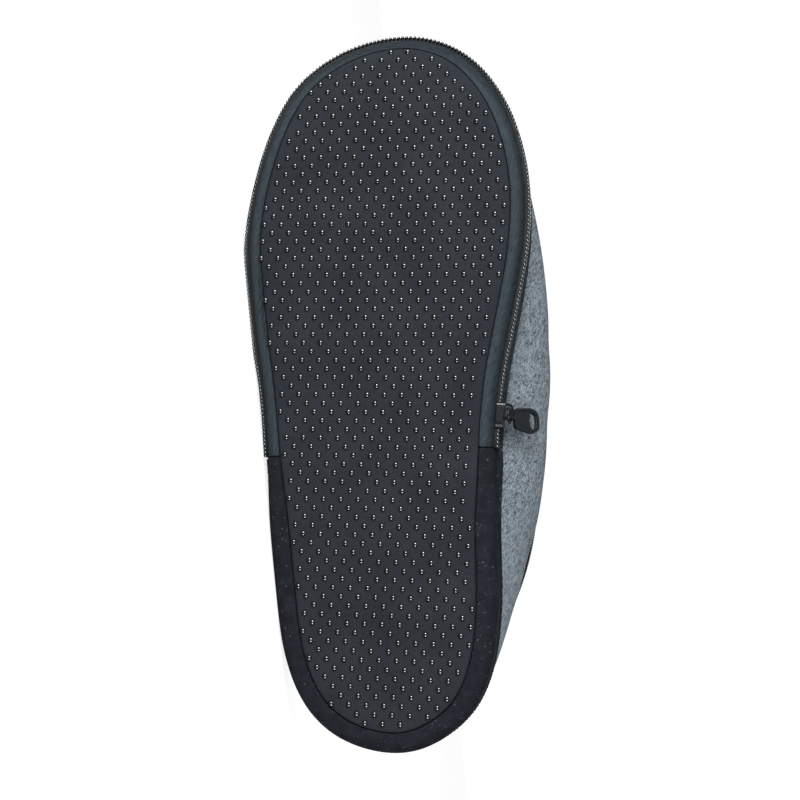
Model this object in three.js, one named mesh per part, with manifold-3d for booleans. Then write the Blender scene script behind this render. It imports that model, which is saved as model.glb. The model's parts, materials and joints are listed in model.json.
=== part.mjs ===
// A closed-heel house slipper for the right foot, with a zip round the forefoot, lying on its outer side.
// The shoe is modelled standing, in millimetres: U runs from the heel to the toe, V towards the inner side
// of the foot and W up from the ground face of the sole. A turned group then lays it on its outer side.
import * as THREE from 'three';
import Module from 'manifold-3d';
import { mergeVertices } from 'three/addons/utils/BufferGeometryUtils.js';

// Driving sizes of the sole board
const BOARD_LENGTH = 286;
const BALL_WIDTH = 108.4;
const WAIST_WIDTH = 87;
const HEEL_WIDTH = 84.4;
const BOARD_THICKNESS = 12;
const BOARD_CORNER = 3.6;
const BOARD_TOP_CHAMFER = 1;
const TOE_SPRING = 6.5;
const TOE_SPRING_LENGTH = 46;

// The dotted panel ends in a step, which the tape and the binding fill
const PANEL_STEP = 1.9;
const PANEL_STEP_SLOPE = 0.6;
const TAPE_FOLD = 4.2;
const BINDING_FOLD = 6.6;

// Fits
const GAP = 0.3;

// Felt upper
const FELT = 3;
const INSTEP_HEIGHT = 77;
const ANKLE_HEIGHT = 48;
const HEEL_HEIGHT = 62;
const TAPE_SEAM_HEIGHT = 4.6;
const BINDING_SEAM_HEIGHT = 2.4;

// Edge trims: their thickness, and where the zip stands on the side of the board
const TAPE = 1;
const BINDING = 1.5;
const CHAIN_THICKNESS = 1.8;
const CHAIN_BOTTOM = 5.6;
const CHAIN_WIDTH = 5.6;
const TAPE_SPLIT = 0.3;
const ZIP_START_U = 118;
const ZIP_END_U = 113;
const TRIM_JOINT = 0.4;

// Insole
const INSOLE_THICKNESS = 4;
const INSOLE_CLEARANCE = 1;

// Edging on the collar
const EDGING = 0.8;
const EDGING_DEPTH = 3;
const EDGING_GAP = 0.45;
const EDGING_CORNER = 0.4;

// Zip slider, ring and tab
const SLIDER_U = 131;
const SLIDER_LENGTH = 10.5;
const SLIDER_PLAY = 0.21;
const SLIDER_PLATE = 1.3;
const SLIDER_FLANGE = 1.2;
const SLIDER_BEVEL = 0.8;
// Corners of the slider's plan, as shares of its half length and half width from its ends and sides
const SLIDER_PLAN = { nose: 0.45, bend: 0.1, shoulder: 0.12, shoulderAt: 0.6, tail: 0.5 };
const CROWN_LENGTH = 6.4;
const CROWN_WIDTH = 1.4;
const CROWN_BAR = 1.1;
const CROWN_EYE = 2.2;
const CROWN_SHIFT = -2;
const RING_WIRE = 1.2;
const RING_LENGTH = 7.2;
const RING_WIDTH = 10.2;
const RING_LIFT_DEG = 8;
const RING_LEAN_DEG = 2;
const RING_HOLD_DEG = 102;
const RING_STEPS = 24;
const RING_SIDES = 8;
const TAB_LENGTH = 12.8;
const TAB_ROOT_WIDTH = 8.6;
const TAB_END_WIDTH = 10.6;
const TAB_PLATE = 1.2;
const TAB_RIM = 0.4;
const TAB_RIM_WIDTH = 1.1;
const TAB_LOOP_WALL = 0.6;
const TAB_LOOP_LENGTH = 1.8;
const TAB_HOLE_LENGTH = 2.8;
const TAB_HOLE_WIDTH = 7.6;
const TAB_HOLE_EDGE = 1.5;
const TAB_RISE_DEG = 30;
// The tab's far end: the share of its width that is rounded off, and the share of half of it that stays flat
const TAB_END_ROUND = 0.4;
const TAB_END_FLAT = 0.3;

// The floor touches the outer side of the sole at two places and the felt above them
const FLOOR_OFFSET = 44.8;
const FLOOR_SLOPE = 0.131;
const FLOOR_ROLL_DEG = 5.5;
const FLOOR_SLOPE_U = 76;
const EDGE_SOFTNESS = 0.5;
const FELT_SOFTNESS = 4;
const SEAM_SOFTNESS = 1;

// Grid
const STATIONS = 64;
const STATION_MARGIN = 0.25;
const NORMAL_STEP = 1e-3;
const LEAST_MITRE = 0.5;
const MERGE = 1e-5;
const CURVE_STEPS = 4;
const DISC_SIDES = 16;
const FILL_SHARES = [0.3, 0.62, 0.86];
const SPINE_INSET = 40;

// Outline of the board: a row for each section, at a share of the length from the heel.
// The outer and inner sides are shares of the width that the section follows.
const OUTLINE = [
  { at: 0.02, width: HEEL_WIDTH, outer: 0.2, inner: 0.28 },
  { at: 0.06, width: HEEL_WIDTH, outer: 0.345, inner: 0.421 },
  { at: 0.12, width: HEEL_WIDTH, outer: 0.436, inner: 0.499 },
  { at: 0.2, width: HEEL_WIDTH, outer: 0.492, inner: 0.522 },
  { at: 0.29, width: HEEL_WIDTH, outer: 0.53, inner: 0.511 },
  { at: 0.4, width: WAIST_WIDTH, outer: 0.537, inner: 0.478 },
  { at: 0.5, width: WAIST_WIDTH, outer: 0.574, inner: 0.495 },
  { at: 0.6, width: BALL_WIDTH, outer: 0.518, inner: 0.443 },
  { at: 0.7, width: BALL_WIDTH, outer: 0.532, inner: 0.483 },
  { at: 0.79, width: BALL_WIDTH, outer: 0.5, inner: 0.482 },
  { at: 0.87, width: BALL_WIDTH, outer: 0.436, inner: 0.431 },
  { at: 0.93, width: BALL_WIDTH, outer: 0.351, inner: 0.348 },
  { at: 0.975, width: BALL_WIDTH, outer: 0.211, inner: 0.233 },
];
const TOE_APEX = 0.028 * BALL_WIDTH;
const HEEL_APEX = 0.06 * HEEL_WIDTH;

// Sections of the upper, from the toe to the heel. Each starts at a place on the outline (at) and ends on
// the collar, at a share of the length (collar) and of the ball width to the side (side), at a share of a
// named height (rise of height). Swell is how far the wall first leans out and climbs (swellOut, swellUp),
// and lean is how it comes in to the collar (leanOut, leanUp), as shares of the ball width.
const UPPER = [
  { at: 1, collar: 0.528, side: 0, height: INSTEP_HEIGHT, rise: 1,
    swellOut: 0.02, swellUp: 0.22, leanOut: 0.74, leanUp: -0.15 },
  { at: 0.87, collar: 0.515, side: 0.115, height: INSTEP_HEIGHT, rise: 0.985,
    swellOut: 0.05, swellUp: 0.19, leanOut: 0.44, leanUp: -0.11 },
  { at: 0.7, collar: 0.48, side: 0.225, height: INSTEP_HEIGHT, rise: 0.935,
    swellOut: 0.17, swellUp: 0.17, leanOut: 0.4, leanUp: -0.06 },
  { at: 0.58, collar: 0.436, side: 0.325, height: INSTEP_HEIGHT, rise: 0.855,
    swellOut: 0.26, swellUp: 0.17, leanOut: 0.31, leanUp: -0.07 },
  { at: 0.44, collar: 0.376, side: 0.425, height: INSTEP_HEIGHT, rise: 0.735,
    swellOut: 0.27, swellUp: 0.16, leanOut: 0.2, leanUp: -0.1 },
  { at: 0.34, collar: 0.325, side: 0.515, height: ANKLE_HEIGHT, rise: 1.04,
    swellOut: 0.17, swellUp: 0.15, leanOut: 0.09, leanUp: -0.12 },
  { at: 0.26, collar: 0.262, side: 0.505, height: ANKLE_HEIGHT, rise: 0.98,
    swellOut: 0.09, swellUp: 0.14, leanOut: 0.03, leanUp: -0.12 },
  { at: 0.18, collar: 0.195, side: 0.445, height: ANKLE_HEIGHT, rise: 1.03,
    swellOut: 0.06, swellUp: 0.14, leanOut: 0.05, leanUp: -0.12 },
  { at: 0.1, collar: 0.128, side: 0.345, height: HEEL_HEIGHT, rise: 0.88,
    swellOut: 0.05, swellUp: 0.15, leanOut: 0.06, leanUp: -0.13 },
  { at: 0.03, collar: 0.066, side: 0.19, height: HEEL_HEIGHT, rise: 0.97,
    swellOut: 0.04, swellUp: 0.16, leanOut: 0.06, leanUp: -0.15 },
  { at: 0, collar: 0.042, side: 0, height: HEEL_HEIGHT, rise: 1,
    swellOut: 0.03, swellUp: 0.16, leanOut: 0.06, leanUp: -0.15 },
];
// Where the felt leaves the floor to make room for the collar's edging
const EDGING_APPROACH = 0.72;
// Where the rings of the felt lie along a section, above its sewn foot
const UPPER_LEVELS = [0.17, 0.26, 0.35, 0.44, 0.53, 0.62, 0.71, 0.8, 0.88];

const FULL_TURN = 2 * Math.PI;
const CHAIN_TOP = CHAIN_BOTTOM + CHAIN_WIDTH;
const CHAIN_MIDDLE = CHAIN_BOTTOM + CHAIN_WIDTH / 2;
const TAPE_FACE = GAP + TAPE;
const CHAIN_BACK = TAPE_FACE + GAP;
const CHAIN_FACE = CHAIN_BACK + CHAIN_THICKNESS;
const FELT_FOOT = BOARD_THICKNESS + GAP;
const TRIM_FACE = GAP + Math.max(TAPE, BINDING);
const FLOOR_ROLL = Math.tan(THREE.MathUtils.degToRad(FLOOR_ROLL_DEG));

// A turn of 0 is the toe, half a turn is the heel, and the inner side comes first
const turnOfShare = (at) => Math.acos(THREE.MathUtils.clamp(2 * at - 1, -1, 1));
const turnOfU = (u) => turnOfShare(u / BOARD_LENGTH);
const stationTurn = (index) => (index / STATIONS) * FULL_TURN;
const foldTurn = (turn) => Math.PI - Math.abs(Math.PI - THREE.MathUtils.euclideanModulo(turn, FULL_TURN));
const allTurns = Array.from({ length: STATIONS }, (_, index) => stationTurn(index));

// A smooth closed curve through knots of turn and value
function roundCurve(knots) {
  const count = knots.length;
  const knot = (index) => {
    const lap = Math.floor(index / count);
    const own = knots[index - lap * count];
    return { turn: own.turn + lap * FULL_TURN, value: own.value };
  };
  const slope = (index) => {
    const before = knot(index - 1);
    const after = knot(index + 1);
    return (after.value - before.value) / (after.turn - before.turn);
  };
  return (anyTurn) => {
    const turn = THREE.MathUtils.euclideanModulo(anyTurn, FULL_TURN);
    let index = count - 1;
    while (index > 0 && knots[index].turn > turn) index -= 1;
    const start = knot(index);
    const end = knot(index + 1);
    const span = end.turn - start.turn;
    const x = (turn - start.turn) / span;
    const rise = x * x * (3 - 2 * x);
    const startPull = x * (1 - x) * (1 - x) * span * slope(index);
    const endPull = -x * x * (1 - x) * span * slope(index + 1);
    return start.value + (end.value - start.value) * rise + startPull + endPull;
  };
}

function outlineKnots() {
  const inner = OUTLINE.map((row) => ({ turn: turnOfShare(row.at), value: row.inner * row.width })).reverse();
  const outer = OUTLINE.map((row) => {
    return { turn: FULL_TURN - turnOfShare(row.at), value: -row.outer * row.width };
  });
  return [{ turn: 0, value: TOE_APEX }, ...inner, { turn: Math.PI, value: HEEL_APEX }, ...outer];
}

// A column of the upper's table, the same on both sides, or with its sign changed on the outer side
function upperColumn(valueOf, outerSign = 1) {
  const rows = UPPER.map((row) => ({ turn: turnOfShare(row.at), value: valueOf(row) }));
  const back = rows.slice(1, -1).reverse();
  const outer = back.map((row) => ({ turn: FULL_TURN - row.turn, value: outerSign * row.value }));
  return roundCurve([...rows, ...outer]);
}

const outlineSide = roundCurve(outlineKnots());
const collarU = upperColumn((row) => row.collar * BOARD_LENGTH);
const collarV = upperColumn((row) => row.side * BALL_WIDTH, -1);
const collarW = upperColumn((row) => row.rise * row.height);
const swellOut = upperColumn((row) => row.swellOut * BALL_WIDTH);
const swellUp = upperColumn((row) => row.swellUp * BALL_WIDTH);
const leanOut = upperColumn((row) => row.leanOut * BALL_WIDTH);
const leanUp = upperColumn((row) => row.leanUp * BALL_WIDTH);

const outlineU = (turn) => (BOARD_LENGTH * (1 + Math.cos(turn))) / 2;

function outlineNormal(turn) {
  const du = outlineU(turn + NORMAL_STEP) - outlineU(turn - NORMAL_STEP);
  const dv = outlineSide(turn + NORMAL_STEP) - outlineSide(turn - NORMAL_STEP);
  return new THREE.Vector2(dv, -du).normalize();
}

function toeSpring(u) {
  const share = Math.max(0, (u - (BOARD_LENGTH - TOE_SPRING_LENGTH)) / TOE_SPRING_LENGTH);
  return TOE_SPRING * share * share;
}

// How deep the floor lets a point be: flat where the shoe is pressed, with a soft way into it
const floorSide = (u, w) => -(FLOOR_OFFSET + FLOOR_SLOPE * (u - FLOOR_SLOPE_U) + FLOOR_ROLL * w);

function pressed(height, softness) {
  if (height >= softness) return height;
  if (height <= -softness) return 0;
  return (height + softness) ** 2 / (4 * softness);
}

function floorShift(u, v, w, softness, lift = 0) {
  const height = v - floorSide(u, w) - lift;
  return pressed(height, softness) - height;
}

const zipStart = turnOfU(ZIP_START_U);
const zipEnd = turnOfU(ZIP_END_U);

// The front of the edge has the zip and its tape, and the back has the binding
function frontToBack(turn, front, back) {
  const seam = Math.max(zipStart, zipEnd);
  const share = THREE.MathUtils.smoothstep(foldTurn(turn), seam, seam + stationTurn(2));
  return THREE.MathUtils.lerp(front, back, share);
}

const foldAt = (turn) => frontToBack(turn, TAPE_FOLD, BINDING_FOLD);
const edgeFace = (turn) => frontToBack(turn, CHAIN_FACE, GAP + BINDING);

// A point of the shoe's edge: out from the side of the board, and up from the ground face
function edgePoint(turn, out, up) {
  const normal = outlineNormal(turn);
  const u = outlineU(turn);
  const v = outlineSide(turn);
  const w = up + toeSpring(u + normal.x * out);
  const face = edgeFace(turn);
  const shift = floorShift(u + normal.x * face, v + normal.y * face, w, EDGE_SOFTNESS);
  const fade = THREE.MathUtils.clamp(1 + out / SPINE_INSET, 0, 1);
  return new THREE.Vector3(u + normal.x * out, v + normal.y * out + shift * fade, w);
}

// A point on the line along the middle of the sole, the same for both sides
function spinePoint(turn, up) {
  const u = THREE.MathUtils.clamp(outlineU(turn), SPINE_INSET, BOARD_LENGTH - SPINE_INSET);
  const spineTurn = turnOfU(u);
  const v = (outlineSide(spineTurn) + outlineSide(FULL_TURN - spineTurn)) / 2;
  return new THREE.Vector3(u, v, up + toeSpring(u));
}

// Collects quads and triangles, with equal points shared
class Shell {
  constructor() {
    this.points = [];
    this.faces = [];
    this.known = new Map();
  }

  index(point) {
    const key = [point.x, point.y, point.z].map((value) => Math.round(value * 1e4)).join(' ');
    if (!this.known.has(key)) {
      this.known.set(key, this.points.length);
      this.points.push(point);
    }
    return this.known.get(key);
  }

  triangle(a, b, c) {
    const corners = [a, b, c].map((point) => this.index(point));
    if (new Set(corners).size === 3) this.faces.push(corners);
  }

  quad(a, b, c, d) {
    this.triangle(a, b, c);
    this.triangle(a, c, d);
  }

  volume() {
    const sum = (total, [a, b, c]) =>
      total + this.points[a].dot(new THREE.Vector3().crossVectors(this.points[b], this.points[c]));
    return this.faces.reduce(sum, 0) / 6;
  }

  geometry() {
    const outward = this.volume() > 0;
    const geometry = new THREE.BufferGeometry();
    const places = this.points.flatMap((point) => point.toArray());
    geometry.setAttribute('position', new THREE.Float32BufferAttribute(places, 3));
    geometry.setIndex(this.faces.flatMap(([a, b, c]) => (outward ? [a, b, c] : [a, c, b])));
    return geometry;
  }
}

// Joins rings of points, station by station; each ring goes once round the shoe
function shellOfRings(rings, closedAcross) {
  const shell = new Shell();
  const across = closedAcross ? rings.length : rings.length - 1;
  for (let level = 0; level < across; level += 1) {
    const low = rings[level];
    const high = rings[(level + 1) % rings.length];
    for (let index = 0; index < low.length; index += 1) {
      const next = (index + 1) % low.length;
      shell.quad(low[index], low[next], high[next], high[index]);
    }
  }
  return shell;
}

// A strip along the edge between two turns, from its section in out and up, with its ends closed
function edgeStrip(turns, sectionAt) {
  const sections = turns.map((turn) => sectionAt(turn));
  const places = turns.map((turn, index) => sections[index].map(({ x, y }) => edgePoint(turn, x, y)));
  const shell = new Shell();
  for (let index = 0; index < turns.length - 1; index += 1) {
    places[index].forEach((corner, k) => {
      const next = (k + 1) % places[index].length;
      shell.quad(corner, places[index][next], places[index + 1][next], places[index + 1][k]);
    });
  }
  [0, turns.length - 1].forEach((index) => {
    const section = sections[index];
    THREE.ShapeUtils.triangulateShape(section, []).forEach((corners) => {
      const area = THREE.ShapeUtils.area(corners.map((k) => section[k]));
      const likeSection = area * THREE.ShapeUtils.area(section) > 0;
      const [a, b, c] = corners.map((k) => places[index][k]);
      if (likeSection === (index === 0)) shell.triangle(a, c, b);
      else shell.triangle(a, b, c);
    });
  });
  return shell.geometry();
}

// Turns of the grid between two turns, with both ends
function turnsBetween(start, end) {
  const margin = STATION_MARGIN * stationTurn(1);
  const laps = [...allTurns.map((turn) => turn - FULL_TURN), ...allTurns];
  return [start, ...laps.filter((turn) => turn > start + margin && turn < end - margin), end];
}

// A path moved to its outer side by the same distance everywhere, with mitred corners
function offsetPath(path, distance) {
  return path.map((point, index) => {
    const before = path[Math.max(index - 1, 0)];
    const after = path[Math.min(index + 1, path.length - 1)];
    const first = index === 0;
    const last = index === path.length - 1;
    const into = new THREE.Vector2().subVectors(first ? after : point, first ? point : before).normalize();
    const away = new THREE.Vector2().subVectors(last ? point : after, last ? before : point).normalize();
    const normal = new THREE.Vector2(into.y + away.y, -into.x - away.x).normalize();
    const stretch = 1 / Math.max(LEAST_MITRE, normal.dot(new THREE.Vector2(into.y, -into.x)));
    return point.clone().addScaledVector(normal, distance * stretch);
  });
}

// Underside, corner and side of the board, which tape and binding cover; fold is how far they reach under it
function wrapPath(fold, top) {
  const corner = [0, 1, 2, 3].map((step) => {
    const angle = (step / 3) * (Math.PI / 2);
    const out = -BOARD_CORNER + BOARD_CORNER * Math.sin(angle);
    return new THREE.Vector2(out, PANEL_STEP + BOARD_CORNER * (1 - Math.cos(angle)));
  });
  return [new THREE.Vector2(-fold, PANEL_STEP), ...corner, new THREE.Vector2(0, top)];
}

// The foot of the felt, a straight piece that the tape and the binding are sewn to. It leans out as the
// felt does, and stands straighter where the trim on it would press into the floor.
function feltSeam(turn) {
  const lean = new THREE.Vector2(swellOut(turn), swellUp(turn)).normalize();
  const seamHeight = frontToBack(turn, TAPE_SEAM_HEIGHT, BINDING_SEAM_HEIGHT);
  const seam = new THREE.Vector2(0, FELT_FOOT).addScaledVector(lean, seamHeight);
  const trim = edgePoint(turn, seam.x + TRIM_FACE, seam.y);
  const height = trim.y - floorSide(trim.x, trim.z);
  seam.x -= pressed(height, SEAM_SOFTNESS) - height;
  return seam;
}

function bandSection(path, inside, outside) {
  return [...offsetPath(path, inside), ...offsetPath(path, outside).reverse()];
}

const zipTurns = turnsBetween(-zipEnd, zipStart);
const jointTurn = (2 * TRIM_JOINT) / BOARD_LENGTH;
const heelTurns = turnsBetween(zipStart + jointTurn, FULL_TURN - zipEnd - jointTurn);

function edgeRing(out, up) {
  return allTurns.map((turn) => edgePoint(turn, typeof out === 'function' ? out(turn) : out, up));
}

function fillRings(ring, up, shares) {
  return shares.map((share) =>
    ring.map((point, index) => {
      const middle = spinePoint(allTurns[index], up);
      const place = new THREE.Vector3().lerpVectors(middle, point, share);
      return place.setZ(up + toeSpring(place.x));
    }),
  );
}

function plateShell(bottomRing, bottomUp, sideRings, topRing, topUp) {
  const middle = (up) => allTurns.map((turn) => spinePoint(turn, up));
  const bottomFill = fillRings(bottomRing, bottomUp, FILL_SHARES);
  const topFill = fillRings(topRing, topUp, FILL_SHARES).reverse();
  return shellOfRings(
    [middle(bottomUp), ...bottomFill, bottomRing, ...sideRings, topRing, ...topFill, middle(topUp)],
    false,
  );
}

function soleGeometry() {
  const wrap = wrapPath(0, BOARD_THICKNESS - BOARD_TOP_CHAMFER).slice(1);
  const panel = edgeRing((turn) => -foldAt(turn) - PANEL_STEP_SLOPE, 0);
  const step = edgeRing((turn) => -foldAt(turn), PANEL_STEP);
  const side = wrap.map((point) => edgeRing(point.x, point.y));
  const top = edgeRing(-BOARD_TOP_CHAMFER, BOARD_THICKNESS);
  return plateShell(panel, 0, [step, ...side], top, BOARD_THICKNESS).geometry();
}

function insoleGeometry() {
  const out = -(FELT + INSOLE_CLEARANCE);
  const low = BOARD_THICKNESS + GAP;
  const high = low + INSOLE_THICKNESS;
  return plateShell(edgeRing(out, low), low, [], edgeRing(out, high), high).geometry();
}

function tapeSoleGeometry() {
  const section = (turn) =>
    bandSection(wrapPath(foldAt(turn) - GAP, CHAIN_MIDDLE - TAPE_SPLIT / 2), GAP, TAPE_FACE);
  return edgeStrip(zipTurns, section);
}

function tapeUpperGeometry() {
  const section = (turn) => {
    const foot = new THREE.Vector2(0, CHAIN_MIDDLE + TAPE_SPLIT / 2);
    return bandSection([foot, new THREE.Vector2(0, FELT_FOOT), feltSeam(turn)], GAP, TAPE_FACE);
  };
  return edgeStrip(zipTurns, section);
}

function bindingGeometry() {
  const section = (turn) => {
    const path = [...wrapPath(foldAt(turn) - GAP, FELT_FOOT), feltSeam(turn)];
    return bandSection(path, GAP, GAP + BINDING);
  };
  return edgeStrip(heelTurns, section);
}

const sliderBack = turnOfU(SLIDER_U - SLIDER_LENGTH / 2);
const closedTurns = turnsBetween(-zipEnd, sliderBack);

// The coil of the zip, closed as far as the slider, then one open row on the sole's tape
function chainGeometry() {
  const open = [sliderBack + jointTurn / 4, (sliderBack + zipStart) / 2, zipStart];
  const section = (turn) => {
    const top = turn <= sliderBack ? CHAIN_TOP : CHAIN_MIDDLE;
    return [
      new THREE.Vector2(CHAIN_BACK, CHAIN_BOTTOM),
      new THREE.Vector2(CHAIN_FACE, CHAIN_BOTTOM),
      new THREE.Vector2(CHAIN_FACE, top),
      new THREE.Vector2(CHAIN_BACK, top),
    ];
  };
  return edgeStrip([...closedTurns, ...open], section);
}

// The middle line of a section's outer face, from the sewn foot to the collar
function feltSection(turn) {
  const normal2 = outlineNormal(turn);
  const normal = new THREE.Vector3(normal2.x, normal2.y, 0);
  const foot = edgePoint(turn, 0, FELT_FOOT);
  const collar = new THREE.Vector3(collarU(turn), collarV(turn), collarW(turn));
  const first = foot.clone().addScaledVector(normal, swellOut(turn)).setZ(foot.z + swellUp(turn));
  const second = collar.clone().addScaledVector(normal, leanOut(turn)).setZ(collar.z + leanUp(turn));
  return new THREE.CubicBezierCurve3(foot, first, second, collar);
}

// The share of a section where the collar's edging ends
function rimShare(turn) {
  const section = feltSection(turn);
  return 1 - (EDGING_DEPTH + EDGING_GAP) / (3 * section.v2.distanceTo(section.v3));
}

function feltPoint(turn, share) {
  const place = feltSection(turn).getPoint(share);
  const hold = THREE.MathUtils.smoothstep(share, 0, UPPER_LEVELS[0]);
  const rim = THREE.MathUtils.smoothstep(share, EDGING_APPROACH, rimShare(turn));
  const lift = rim * (EDGING_GAP + EDGING) * Math.hypot(FLOOR_SLOPE, 1, FLOOR_ROLL);
  place.y += hold * floorShift(place.x, place.y, place.z, FELT_SOFTNESS, lift);
  return place;
}

function feltOuterRings() {
  const foot = edgeRing(0, FELT_FOOT);
  const seam = allTurns.map((turn) => {
    const place = feltSeam(turn);
    return edgePoint(turn, place.x, place.y);
  });
  const above = UPPER_LEVELS.map((share) => allTurns.map((turn) => feltPoint(turn, share)));
  const rimFoot = allTurns.map((turn) => feltPoint(turn, rimShare(turn)));
  const rim = allTurns.map((turn) => feltPoint(turn, 1));
  return [foot, seam, ...above, rimFoot, rim];
}

// Faces' normals at each point of a grid of rings
function ringNormals(rings) {
  return rings.map((ring, level) =>
    ring.map((point, index) => {
      const nearRim = level >= rings.length - 2;
      const low = rings[nearRim ? rings.length - 2 : Math.max(level - 1, 0)][index];
      const high = rings[nearRim ? rings.length - 1 : level + 1][index];
      const before = ring[(index + ring.length - 1) % ring.length];
      const after = ring[(index + 1) % ring.length];
      const along = new THREE.Vector3().subVectors(after, before);
      const up = new THREE.Vector3().subVectors(high, low);
      return new THREE.Vector3().crossVectors(up, along).normalize();
    }),
  );
}

const feltOuter = feltOuterRings();
const feltNormals = ringNormals(feltOuter);
const feltInner = feltOuter.map((ring, level) =>
  ring.map((point, index) => {
    if (level === 0) return edgePoint(allTurns[index], -FELT, FELT_FOOT);
    return point.clone().addScaledVector(feltNormals[level][index], FELT);
  }),
);

function upperGeometry() {
  return shellOfRings([...feltOuter, ...feltInner.slice().reverse()], true).geometry();
}

// A channel round the collar's rim: along is the way up the felt, across the way out of its face
function edgingGeometry() {
  const last = feltOuter.length - 1;
  const reach = EDGING_GAP + EDGING;
  const section = [
    [EDGING_GAP, -EDGING_DEPTH],
    [EDGING_GAP, EDGING_GAP],
    [-FELT - EDGING_GAP, EDGING_GAP],
    [-FELT - EDGING_GAP, -EDGING_DEPTH],
    [-FELT - reach, -EDGING_DEPTH],
    [-FELT - reach, reach - EDGING_CORNER],
    [-FELT - reach + EDGING_CORNER, reach],
    [reach - EDGING_CORNER, reach],
    [reach, reach - EDGING_CORNER],
    [reach, -EDGING_DEPTH],
  ];
  const frames = allTurns.map((_, index) => {
    const outer = feltOuter[last][index];
    const inner = feltInner[last][index];
    const across = new THREE.Vector3().subVectors(outer, inner).normalize();
    const wayUp = (face) => {
      const along = new THREE.Vector3().subVectors(face[last][index], face[last - 1][index]);
      return along.normalize();
    };
    return { outer, inner, across, outerUp: wayUp(feltOuter), innerUp: wayUp(feltInner) };
  });
  const rings = section.map(([out, up]) =>
    frames.map(({ outer, inner, across, outerUp, innerUp }) => {
      const outside = out > -FELT / 2;
      const start = outside ? outer : inner;
      const aside = outside ? out : out + FELT;
      return start.clone().addScaledVector(across, aside).addScaledVector(outside ? outerUp : innerUp, up);
    }),
  );
  return shellOfRings(rings, true).geometry();
}

// Solids joined and cut
const wasm = await Module();
wasm.setup();

function solid(geometry) {
  const bare = geometry.clone();
  bare.deleteAttribute('normal');
  bare.deleteAttribute('uv');
  const merged = mergeVertices(bare, MERGE);
  const mesh = new wasm.Mesh({
    numProp: 3,
    vertProperties: new Float32Array(merged.attributes.position.array),
    triVerts: new Uint32Array(merged.index.array),
  });
  return new wasm.Manifold(mesh);
}

function geometryOf(manifold) {
  const mesh = manifold.getMesh();
  const geometry = new THREE.BufferGeometry();
  geometry.setAttribute('position', new THREE.BufferAttribute(new Float32Array(mesh.vertProperties), 3));
  geometry.setIndex(new THREE.BufferAttribute(new Uint32Array(mesh.triVerts), 1));
  return geometry;
}

// The slider: X runs to the heel along the zip, Y up across it, and Z out of the tape's face
function sliderGeometry() {
  const low = CHAIN_BOTTOM - GAP - SLIDER_FLANGE - CHAIN_MIDDLE;
  const high = CHAIN_TOP + GAP + SLIDER_FLANGE - CHAIN_MIDDLE;
  const under = CHAIN_FACE + GAP;
  const face = under + SLIDER_PLATE;
  const lowFlange = TAPE_FACE + GAP;
  const highFlange = under - GAP;
  const profile = new THREE.Shape([
    new THREE.Vector2(low, lowFlange),
    new THREE.Vector2(low + SLIDER_FLANGE, lowFlange),
    new THREE.Vector2(low + SLIDER_FLANGE, under),
    new THREE.Vector2(high - SLIDER_FLANGE, under),
    new THREE.Vector2(high - SLIDER_FLANGE, highFlange),
    new THREE.Vector2(high, highFlange),
    new THREE.Vector2(high, face - SLIDER_BEVEL),
    new THREE.Vector2(high - SLIDER_BEVEL, face),
    new THREE.Vector2(low + SLIDER_BEVEL, face),
    new THREE.Vector2(low, face - SLIDER_BEVEL),
  ]);
  const body = new THREE.ExtrudeGeometry(profile, { depth: SLIDER_LENGTH, bevelEnabled: false });
  body.applyMatrix4(new THREE.Matrix4().makeBasis(
    new THREE.Vector3(0, 1, 0),
    new THREE.Vector3(0, 0, 1),
    new THREE.Vector3(1, 0, 0),
  ));
  body.translate(-SLIDER_LENGTH / 2, 0, 0);
  const waist = new THREE.Shape();
  const half = (high - low) / 2;
  const end = SLIDER_LENGTH / 2;
  const { nose, bend, shoulder, shoulderAt, tail } = SLIDER_PLAN;
  waist.moveTo(-end, low + half * nose);
  waist.quadraticCurveTo(-end, low + half * bend, -end * shoulderAt, low + half * shoulder);
  waist.lineTo(end * tail, low);
  waist.quadraticCurveTo(end, low, end, low + half * tail);
  waist.lineTo(end, high - half * tail);
  waist.quadraticCurveTo(end, high, end * tail, high);
  waist.lineTo(-end * shoulderAt, high - half * shoulder);
  waist.quadraticCurveTo(-end, high - half * bend, -end, high - half * nose);
  waist.closePath();
  const planDepth = { depth: 2 * face, bevelEnabled: false, curveSegments: CURVE_STEPS };
  const plan = new THREE.ExtrudeGeometry(waist, planDepth);
  plan.translate(0, 0, -face / 2);
  const crownShape = new THREE.Shape();
  const foot = face - SLIDER_PLATE / 2;
  const top = face + CROWN_EYE;
  crownShape.moveTo(-CROWN_LENGTH / 2, foot);
  crownShape.lineTo(-CROWN_LENGTH / 2, top - CROWN_BAR);
  crownShape.quadraticCurveTo(-CROWN_LENGTH / 2, top + CROWN_BAR, 0, top + CROWN_BAR);
  crownShape.quadraticCurveTo(CROWN_LENGTH / 2, top + CROWN_BAR, CROWN_LENGTH / 2, top - CROWN_BAR);
  crownShape.lineTo(CROWN_LENGTH / 2, foot);
  crownShape.closePath();
  const eye = new THREE.Path();
  const eyeHalf = CROWN_LENGTH / 2 - CROWN_BAR;
  eye.moveTo(-eyeHalf, face);
  eye.lineTo(eyeHalf, face);
  eye.lineTo(eyeHalf, top - CROWN_BAR);
  eye.quadraticCurveTo(eyeHalf, top, 0, top);
  eye.quadraticCurveTo(-eyeHalf, top, -eyeHalf, top - CROWN_BAR);
  eye.closePath();
  crownShape.holes.push(eye);
  const crownDepth = { depth: CROWN_WIDTH, bevelEnabled: false, curveSegments: CURVE_STEPS };
  const crown = new THREE.ExtrudeGeometry(crownShape, crownDepth);
  crown.rotateX(Math.PI / 2);
  crown.translate(CROWN_SHIFT, CROWN_WIDTH / 2, 0);
  return geometryOf(solid(body).intersect(solid(plan)).add(solid(crown)));
}

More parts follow.
